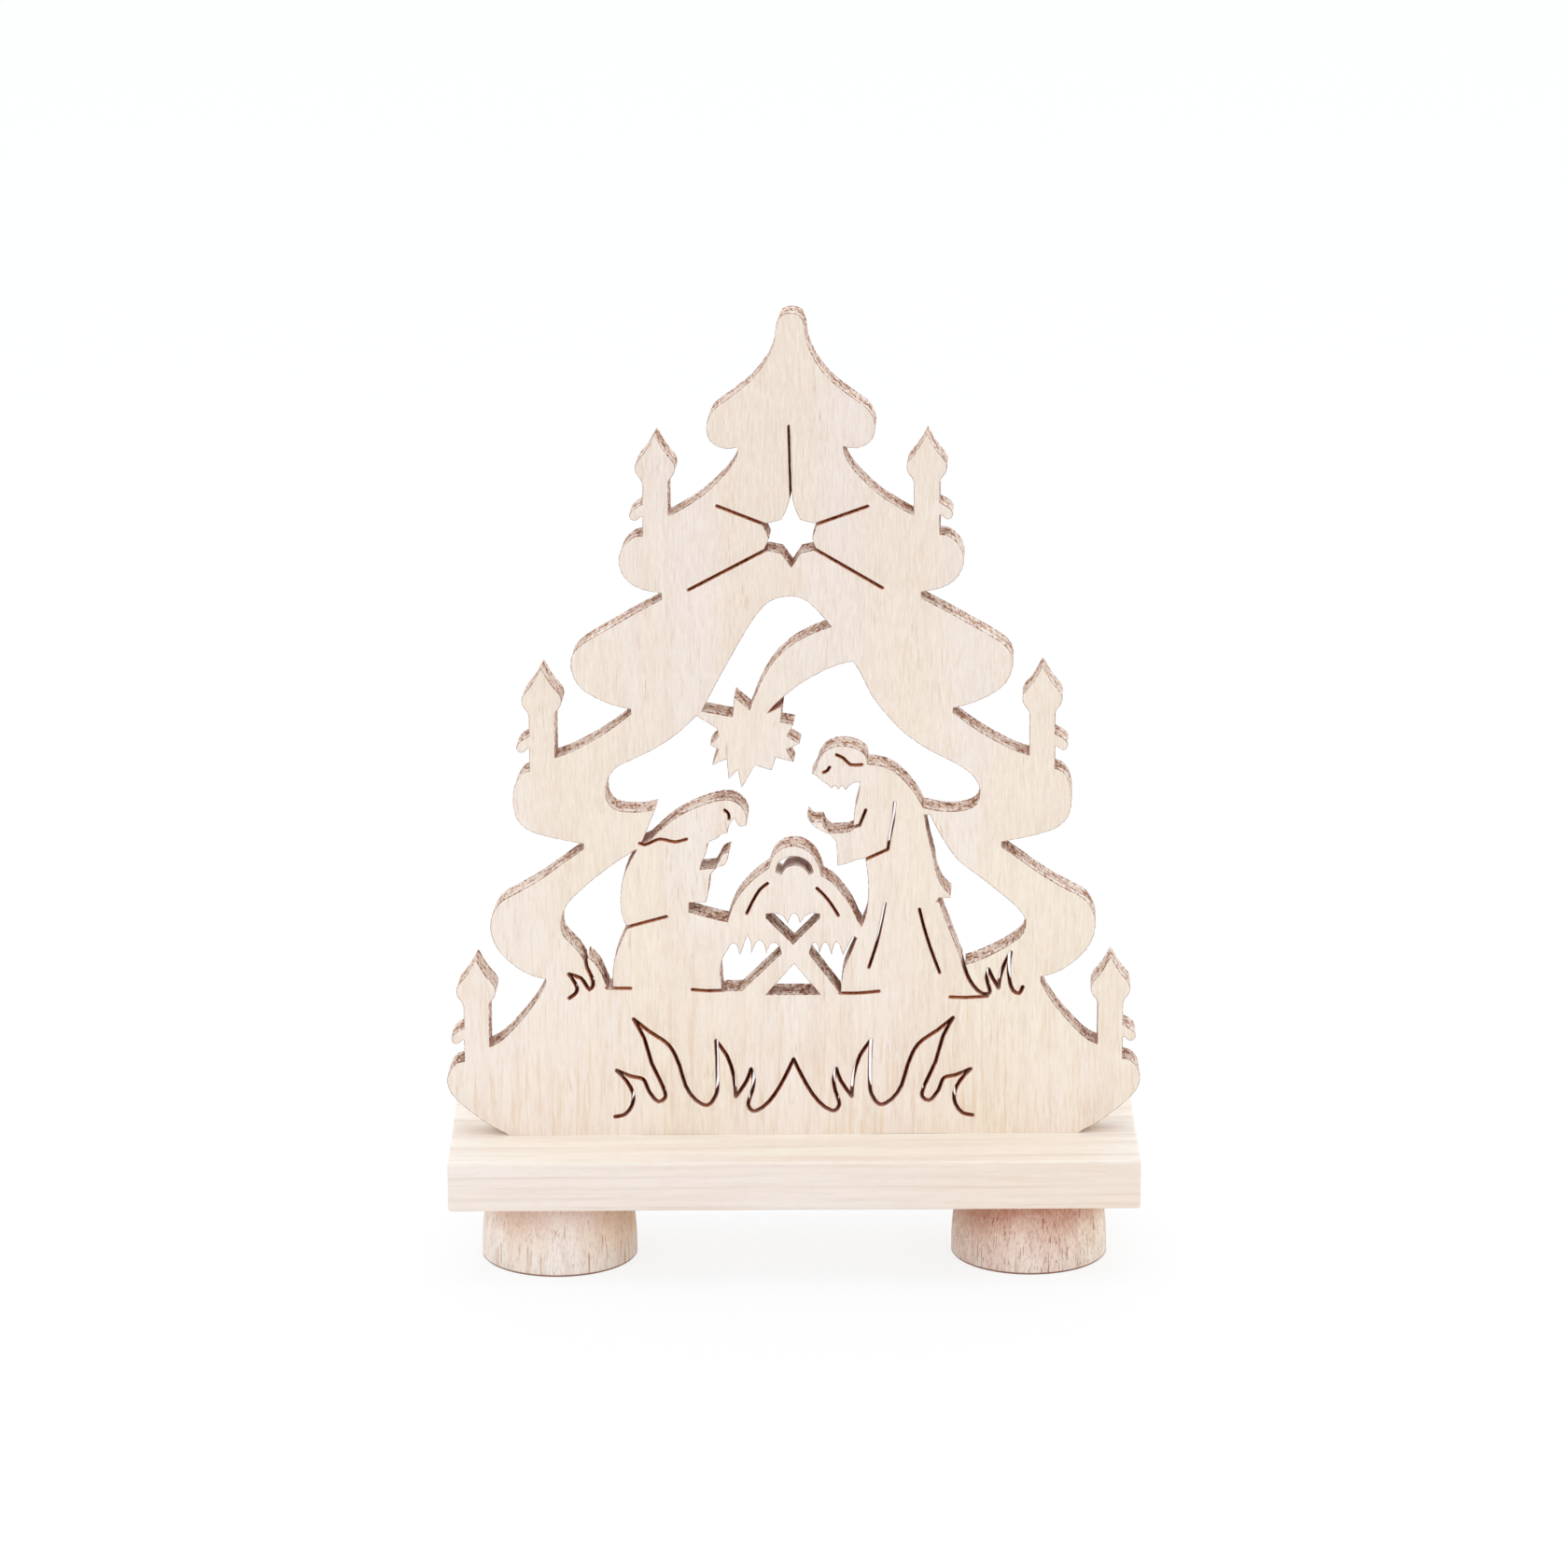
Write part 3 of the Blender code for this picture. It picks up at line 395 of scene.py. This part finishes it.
def beech(name, foot, seed, shade_under_plank, coarse, pale, deep, side, fleck_tint):
    """Turned beech, its grain upright: crisp dark flecks, with painted shade, redder and darker, towards the
    plank.

    The foot's right-hand half takes the side colour. Colours are in sRGB.
    """
    g = Graph(bpy.data.materials.new(name))
    low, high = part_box(foot)
    radius = (high.x - low.x) / 2
    middle = low.x + radius
    across = g.axes(g.place)[0]
    height_mm = g.axes(g.scaled((1, 1, 1)))[2]
    broad = g.noise((0.25, 0.25, 0.12), (seed, 2, 4))
    bands = g.noise((1.3, 1.3, 0.16), (3, seed, 4), 3.0, 0.6)
    fine = g.noise((6.5, 6.5, 0.8), (3, 2, seed), 3.0, 0.7)
    speck = g.noise((9.0, 9.0, 2.6), (seed, 7, 4), 3.0, 0.75)
    pit = g.noise((9.0, 9.0, 1.6), (2, seed, 9), 2.0, 0.7)
    fleck = g.noise((6.5, 6.5, 0.03), (seed, seed, 1), 1.0, 0.4)
    broken = g.noise((1.6, 1.6, 0.3), (7, seed, 3), 1.0, 0.5)
    fleck = g.math("MULTIPLY", g.span(fleck, 0.64, 0.685), g.span(broken, 0.47, 0.55))
    vein = g.noise((8.0, 8.0, 1.0), (seed, 1, seed), 1.0, 0.4)
    vein = g.math("MULTIPLY", g.span(vein, 0.63, 0.72), g.span(bands, 0.4, 0.6))
    # Painted shade under the plank's overhang: the foot turns redder and darker towards its top
    painted_shade_under_plank = g.span(g.total((height_mm, 1.0), (broad, 2.4)), 3.6, 7.0)
    tool_marks = g.math("SINE", g.math("MULTIPLY", height_mm, 21.0))

    colour = g.mix(g.span(broad, 0.35, 0.65), linear(*pale), linear(*deep))
    colour = g.tinted(colour, across, middle + 0.1 * radius, middle + radius, 0.8, side)
    # Painted light: the foot's lower part is made paler, as if the plank's shade fell only higher up
    colour = g.mix(g.span(height_mm, 0.2, 3.8, 0.8 - 0.5 * coarse, 0.0), colour, linear(255, 249, 243))
    colour = g.overlaid(colour, painted_shade_under_plank, shade_under_plank, (186, 124, 98))
    colour = g.tinted(colour, bands, 0.42, 0.72, 0.25 + 0.3 * coarse, (214, 176, 152))
    colour = g.tinted(colour, fine, 0.5, 0.72, 0.35 + 0.35 * coarse, (196, 156, 132))
    colour = g.tinted(colour, speck, 0.5, 0.72, 0.6, (252, 240, 230))
    colour = g.tinted(colour, pit, 0.54, 0.68, 0.15 + coarse, (172, 122, 102))
    colour = g.overlaid(colour, vein, 0.5 * coarse, (158, 104, 84))
    colour = g.overlaid(colour, fleck, 0.85, fleck_tint)
    # Painted shadow: a thin dark brown line at the foot's very bottom stands in for its contact shadow
    colour = g.mix(g.span(height_mm, 0.14, 0.22, 0.9, 0.0), colour, linear(140, 88, 64))
    g.emboss(g.total((fine, 0.8), (tool_marks, 0.12), (fleck, -0.8)), 0.016 * MM)
    return g.finish(colour, g.span(fine, 0.3, 0.7, 0.5, 0.68))


def with_next(outline):
    """Each point of a closed outline and the next one."""
    return zip(outline, outline[1:] + outline[:1])


def with_neighbours(outline):
    """Each point of a closed outline between the one before it and the one after it."""
    return zip(outline[-1:] + outline[:-1], outline, outline[1:] + outline[:1])


def turned_area(outline):
    """Twice the area inside an outline, negative where it runs clockwise."""
    return sum(near.cross(far) for near, far in with_next(outline))


def cad_outlines(node):
    """Closed outlines of a node's front face in x and z, with the wood on their left."""
    mesh = bmesh.new()
    mesh.from_mesh(node.data)
    bmesh.ops.remove_doubles(mesh, verts=mesh.verts[:], dist=SAME_POINT)
    front = {face for face in mesh.faces if face.normal.y < FRONT_NORMAL}
    following = {}
    for face in front:
        for loop in face.loops:
            if sum(other in front for other in loop.edge.link_faces) == 1:
                following[loop.vert] = loop.link_loop_next.vert
    outlines = []
    while following:
        vert = min(following, key=lambda other: other.index)
        outline = []
        while vert in following:
            outline.append(Vector((vert.co.x, vert.co.z)))
            vert = following.pop(vert)
        outlines.append(outline)
    mesh.free()
    return outlines


def seat(outlines):
    """Lets the panel's foot down on to the plank, where glue fills the joint."""
    plank_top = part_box("base_plank")[1].z
    for outline in outlines:
        for point in outline:
            if abs(point.y - (plank_top + GLUE_LINE)) < FOOT_SEARCH:
                point.y = plank_top + SEATED_GAP


def split_long(outline):
    """The outline with its long edges split."""
    points = []
    for near, far in with_next(outline):
        pieces = max(1, math.ceil((far - near).length / EDGE_PIECE))
        points += [near.lerp(far, step / pieces) for step in range(pieces)]
    return points


def inward(outline, distance):
    """The outline moved into the wood by a distance, its sharp corners by up to twice as much."""
    moved = []
    for before, point, after in with_neighbours(outline):
        first, second = (point - before).normalized(), (after - point).normalized()
        across = Vector((-first.y, first.x))
        side = Vector((-first.y - second.y, first.x + second.x))
        if side.length < OPPOSITE:
            side = across.copy()
        side.normalize()
        moved.append(point + side * distance / max(0.5, side.dot(across)))
    return moved


def wall_tree(outlines):
    """The walls of all the cuts as a tree that rays can be cast at."""
    points = []
    for outline in outlines:
        for near, far in with_next(outline):
            points += [(near.x, -WALL_REACH, near.y), (far.x, -WALL_REACH, far.y)]
            points += [(far.x, WALL_REACH, far.y), (near.x, WALL_REACH, near.y)]
    quads = [(first, first + 1, first + 2, first + 3) for first in range(0, len(points), 4)]
    return BVHTree.FromPolygons(points, quads)


def fan_lengths(walls, before, point, after):
    """How far each ray of a fan gets that looks out of the wood at a point of an outline."""
    along = (after - before).normalized()
    out = Vector((along.y, 0, -along.x))
    start = Vector((point.x, 0, point.y)) + out * RAY_START
    lengths = []
    for turn in range(-FAN_SIDE_RAYS, FAN_SIDE_RAYS + 1):
        way = Matrix.Rotation(math.radians(FAN_TURN * turn), 3, "Y") @ out
        length = walls.ray_cast(start, way, REACH)[3]
        lengths.append(REACH if length is None else length)
    return lengths


def confinement(outlines):
    """How far wood nearby closes the view out of the cut, and how thin the cut is, at every point."""
    walls = wall_tree(outlines)
    scorch_and_shade_levels, thins = [], []
    for outline in outlines:
        fans = [fan_lengths(walls, *corner) for corner in with_neighbours(outline)]
        scorch_and_shade_levels.append([1 - sum(length / REACH for length in fan) / len(fan) for fan in fans])
        thins.append([clamped((OPEN_CUT - fan[FAN_SIDE_RAYS]) / (OPEN_CUT - THIN_CUT)) for fan in fans])
    return scorch_and_shade_levels, thins


def lean(height):
    """How far the back of a cut lies to the right of its front at a height above the panel's foot."""
    return CUT_LEAN * (FOOT_LEAN_SHARE + (1 - FOOT_LEAN_SHARE) * min(1.0, height / FULL_LEAN_HEIGHT))


def back_of_cut(outline, thinness, foot):
    """A cut's outline at the panel's back: narrower there, and leaning."""
    moved = []
    for near, far, thin in zip(outline, inward(outline, -MM), thinness):
        wave = math.sin(near.x / WAVE_ACROSS + near.y / WAVE_UP) * math.sin(near.y / WAVE_SHORT)
        taper = WIDE_TAPER + thin * (THIN_TAPER * (TAPER_MEAN + TAPER_WAVE * wave) - WIDE_TAPER)
        moved.append(near.lerp(far, taper / MM) + Vector((lean(near.y - foot), 0)))
    return moved


def back_of_edge(outline, foot, furthest):
    """The panel's own edge at its back: it leans like a cut, but not at its foot nor past its right side."""
    moved = []
    for point in outline:
        height = point.y - foot
        right = point.x + clamped(height / EDGE_LEAN_HEIGHT) * lean(height)
        moved.append(Vector((min(right, max(point.x, furthest)), point.y)))
    return moved


def softened(outlines, foot):
    """The outlines moved in by the rim, but not up from the foot."""
    rims = [inward(outline, RIM) for outline in outlines]
    for outline, rim in zip(outlines, rims):
        for point, moved in zip(outline, rim):
            if abs(point.y - foot) < SAME_POINT:
                moved.y = point.y
    return rims


def filled(rims):
    """The wood inside the rims as corners and triangles, and which points of the rims each corner is.

    The corners are in millimetres, and the points are counted through all the rims.
    """
    flat, faces = [], []
    for rim in rims:
        face = list(range(len(flat), len(flat) + len(rim)))
        faces.append(face[::-1] if faces else face)
        flat += [point / MM for point in rim]
    result = delaunay_2d_cdt(flat, [], faces, FILL_INSIDE, FILL_PRECISION, True)
    corners, _, triangles, origins, _, sources = result
    wood = [list(triangle) for triangle, source in zip(triangles, sources) if list(source) == [0]]
    return corners, wood, origins


def wall_levels(front, back):
    """Where the points of a wall lie between front and back, each also as a share of the way."""
    step = (back - front) / WALL_STEPS
    inner = [front + number * step for number in range(1, WALL_STEPS)]
    return [(y, (y - front) / (back - front)) for y in (front + RIM_DEPTH, *inner, back - RIM_DEPTH)]


class Shell:
    """A mesh in the making: points with their scorch and painted shade and their thinness, and faces with
    their material slot.
    """

    def __init__(self):
        self.points, self.burn, self.thin = [], [], []
        self.faces, self.slots = [], []

    def add_points(self, points, burn, thin):
        """Adds points and gives back their numbers."""
        first = len(self.points)
        self.points += points
        self.burn += burn
        self.thin += thin
        return list(range(first, len(self.points)))

    def add_faces(self, faces, slot):
        """Adds faces of one material."""
        self.faces += faces
        self.slots += [slot] * len(faces)

    def add_wall(self, rings):
        """Joins rings of points by the faces of a burnt wall."""
        for near, far in zip(rings, rings[1:]):
            for (a, b), (c, d) in zip(with_next(near), with_next(far)):
                self.add_faces([(b, a, c, d)], CUT_SLOT)

    def to_mesh(self, name):
        """The finished mesh, which holds the scorch with its painted shade, and the thinness, at each point.
        """
        data = bpy.data.meshes.new(name)
        data.from_pydata(self.points, [], self.faces)
        data.polygons.foreach_set("material_index", self.slots)
        data.attributes.new("burn", "FLOAT", "POINT").data.foreach_set("value", self.burn)
        data.attributes.new("thin", "FLOAT", "POINT").data.foreach_set("value", self.thin)
        return data


def make_panel(node):
    """The carved panel with burnt walls in three plies and a softened rim, in the CAD panel's place."""
    outlines = cad_outlines(node)
    seat(outlines)
    outlines = sorted((split_long(outline) for outline in outlines), key=turned_area, reverse=True)
    scorch_and_shade_levels, thins = confinement(outlines)
    foot = min(point.y for point in outlines[0] if abs(point.x) > TENON_REACH)
    low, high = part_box("tree_panel")
    front, back = low.y, high.y
    backs = [back_of_edge(outlines[0], foot, high.x)]
    backs += [back_of_cut(outline, thin, foot) for outline, thin in zip(outlines[1:], thins[1:])]

    # The front face and the back face, whose corners are moved like the points that they come from
    corners, wood, origins = filled(softened(outlines, foot))
    moves = [far - near for pair in zip(outlines, backs) for near, far in zip(*pair)]
    shifts = [moves[origin[0]] if origin else Vector((CUT_LEAN, 0)) for origin in origins]
    edge_thins = [thin for values in thins for thin in values]
    corner_thins = [edge_thins[origin[0]] if origin else 0.0 for origin in origins]
    unburnt = [0.0] * len(corners)
    shell = Shell()
    front_points = [(corner.x * MM, front, corner.y * MM) for corner in corners]
    back_points = [(corner.x * MM + shift.x, back, corner.y * MM + shift.y)
                   for corner, shift in zip(corners, shifts)]
    shell.add_points(front_points, unburnt, corner_thins)
    behind = shell.add_points(back_points, unburnt, corner_thins)
    shell.add_faces(wood, VENEER_SLOT)
    shell.add_faces([[behind[index] for index in reversed(triangle)] for triangle in wood], VENEER_SLOT)

    # The walls, with a ring of points at each level, from the front face's edge to the back face's
    corner_of = {point: index for index, origin in enumerate(origins) for point in origin}
    start = 0
    for outline, back_outline, burn, thin in zip(outlines, backs, scorch_and_shade_levels, thins):
        edge = [corner_of[start + i] for i in range(len(outline))]
        start += len(outline)
        rings = [edge]
        for y, share in wall_levels(front, back):
            ring = [near.lerp(far, share) for near, far in zip(outline, back_outline)]
            rings.append(shell.add_points([(point.x, y, point.y) for point in ring], burn, thin))
        shell.add_wall([*rings, [behind[index] for index in edge]])

    data = shell.to_mesh("tree_panel_carved")
    data.materials.append(veneer())
    data.materials.append(burnt_cut())
    add("tree_panel_carved", data, "tree_panel", PANEL_SHARP_ANGLE)


def add(name, data, node, sharp_angle):
    """Puts a mesh into the scene in the place of a CAD node."""
    mesh = bmesh.new()
    mesh.from_mesh(data)
    loose = [vert for vert in mesh.verts if not vert.link_faces]
    bmesh.ops.delete(mesh, geom=loose, context="VERTS")
    bmesh.ops.recalc_face_normals(mesh, faces=mesh.faces[:])
    mesh.to_mesh(data)
    mesh.free()
    data.shade_smooth()
    data.set_sharp_from_angle(angle=math.radians(sharp_angle))
    item = bpy.data.objects.new(name, data)
    bpy.context.scene.collection.objects.link(item)
    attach(item, "root")
    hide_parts(node)


def foot_section(node):
    """The foot's axis, and radius and height along its outer side, read from its CAD node."""
    low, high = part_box(node.name)
    axis = Vector(((low.x + high.x) / 2, (low.y + high.y) / 2))
    rings = {}
    for vert in node.data.vertices:
        height = round(vert.co.z / MM, 3)
        radius = math.hypot(vert.co.x - axis.x, vert.co.y - axis.y)
        rings[height] = max(radius, rings.get(height, 0.0))
    section = [(radius, height * MM) for height, radius in sorted(rings.items()) if radius > INNER_RADIUS]
    return axis, section


def make_foot(node, material):
    """A finer turned foot with a drilled dowel hole, in the CAD foot's place."""
    axis, section = foot_section(node)
    low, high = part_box("dowel_left" if axis.x < 0 else "dowel_right")
    hole = (high.x - low.x) / 2 + GLUE_LINE
    hole_end = low.z - DOWEL_END_GAP
    bottom, top = section[0][1], section[-1][1]
    profile = [(0.0, bottom), *section, (hole, top), (hole, hole_end), (0.0, hole_end)]
    mesh = bmesh.new()
    points = [mesh.verts.new((axis.x + radius, axis.y, height)) for radius, height in profile]
    edges = [mesh.edges.new(pair) for pair in zip(points, points[1:])]
    bmesh.ops.spin(mesh, geom=points + edges, axis=(0, 0, 1), cent=(axis.x, axis.y, 0),
                   angle=math.tau, steps=FOOT_STEPS, use_merge=True)
    bmesh.ops.remove_doubles(mesh, verts=mesh.verts[:], dist=SAME_POINT)
    data = bpy.data.meshes.new(node.name + "_turned")
    mesh.to_mesh(data)
    mesh.free()
    data.materials.append(material)
    add(node.name + "_turned", data, node.name, FOOT_SHARP_ANGLE)


def dress(node, material):
    """Gives a CAD node a finer material."""
    for slot in node.material_slots:
        slot.link = "OBJECT"
        slot.material = material


def make_floor():
    """A wide pale floor that the camera sees as white, with the object's shadow on it."""
    data = bpy.data.meshes.new("studio_floor")
    corners = [(x * FLOOR_HALF, y * FLOOR_HALF, 0) for x, y in ((-1, -1), (1, -1), (1, 1), (-1, 1))]
    data.from_pydata(corners, [], [(0, 1, 2, 3)])
    item = bpy.data.objects.new("studio_floor", data)
    bpy.context.scene.collection.objects.link(item)
    g = Graph(bpy.data.materials.new("studio floor"))
    seen = g.seen_directly()
    shadowed = [SHADOW_SHARE * value for value in SHADOW_TINT] + [1]
    g.finish(g.mix(seen, FLOOR_COLOUR, shadowed), 0.9, 0.0)
    glow = g.new("ShaderNodeEmission")
    g.join(g.math("MULTIPLY", seen, FLOOR_GLOW), glow.inputs["Strength"])
    both = g.new("ShaderNodeAddShader")
    g.join(g.nodes["Principled BSDF"].outputs[0], both.inputs[0])
    g.join(glow.outputs[0], both.inputs[1])
    g.join(both.outputs[0], g.nodes["Material Output"].inputs["Surface"])
    data.materials.append(g.owner)


def make_world():
    """White to the camera; as a light, softer in front and stronger at the sides and behind."""
    world = bpy.data.worlds.new("studio")
    bpy.context.scene.world = world
    g = Graph(world, "Generated")
    direction = g.axes(g.place)
    sideways = g.math("ABSOLUTE", direction[0])
    behind = g.math("MULTIPLY_ADD", sideways, SIDE_SHARE, direction[1])
    light = g.nodes["Background"]
    light.inputs["Color"].default_value = WHITE
    g.join(g.span(behind, 0.0, BACKDROP_FULL, AMBIENT, BACKDROP), light.inputs["Strength"])
    white = g.new("ShaderNodeBackground")
    white.inputs["Color"].default_value = WHITE
    white.inputs["Strength"].default_value = 1.0
    mixer = g.new("ShaderNodeMixShader")
    g.join(g.seen_directly(), mixer.inputs[0])
    g.join(light.outputs[0], mixer.inputs[1])
    g.join(white.outputs[0], mixer.inputs[2])
    g.join(mixer.outputs[0], g.nodes["World Output"].inputs["Surface"])


def softbox(name, at, size, power):
    """A square soft light that points at the middle of the tree."""
    data = bpy.data.lights.new(name, "AREA")
    data.shape = "SQUARE"
    data.size = size
    data.energy = power
    item = bpy.data.objects.new(name, data)
    item.location = at
    item.rotation_euler = (Vector(LIT_POINT) - Vector(at)).to_track_quat("-Z", "Y").to_euler()
    bpy.context.scene.collection.objects.link(item)


def make_camera():
    """The camera of the photograph."""
    data = bpy.data.cameras.new("camera")
    data.sensor_width = SENSOR
    data.lens = FOCAL_PIXELS / PHOTO_PIXELS * SENSOR
    data.clip_start, data.clip_end = CAMERA_RANGE
    item = bpy.data.objects.new("camera", data)
    turn = Matrix.Rotation(CAMERA_PITCH, 4, "X") @ Matrix.Rotation(CAMERA_ROLL, 4, "Z")
    item.matrix_world = Matrix.Translation(CAMERA_AT) @ turn
    bpy.context.scene.collection.objects.link(item)
    bpy.context.scene.camera = item


make_camera()
make_panel(NODES["tree_panel"])
left_beech = beech("beech left", "foot_left", seed=3.0, shade_under_plank=0.42, coarse=0.2,
                   pale=(253, 243, 236), deep=(246, 228, 212), side=(240, 208, 172),
                   fleck_tint=(190, 128, 84))
right_beech = beech("beech right", "foot_right", seed=11.0, shade_under_plank=1.0, coarse=0.6,
                    pale=(248, 228, 216), deep=(234, 204, 190), side=(252, 240, 218),
                    fleck_tint=(156, 102, 82))
peg = beech("beech peg", "foot_left", seed=23.0, shade_under_plank=0.0, coarse=0.3,
            pale=(226, 204, 184), deep=(214, 188, 164), side=(226, 204, 184),
            fleck_tint=(176, 116, 84))
make_foot(NODES["foot_left"], left_beech)
make_foot(NODES["foot_right"], right_beech)
dress(NODES["base_plank"], plank_wood())
for side in ("left", "right"):
    dress(NODES["dowel_" + side], peg)

make_floor()
make_world()
for lamp in SOFTBOXES:
    softbox(*lamp)
bpy.context.scene.view_settings.view_transform = "Standard"
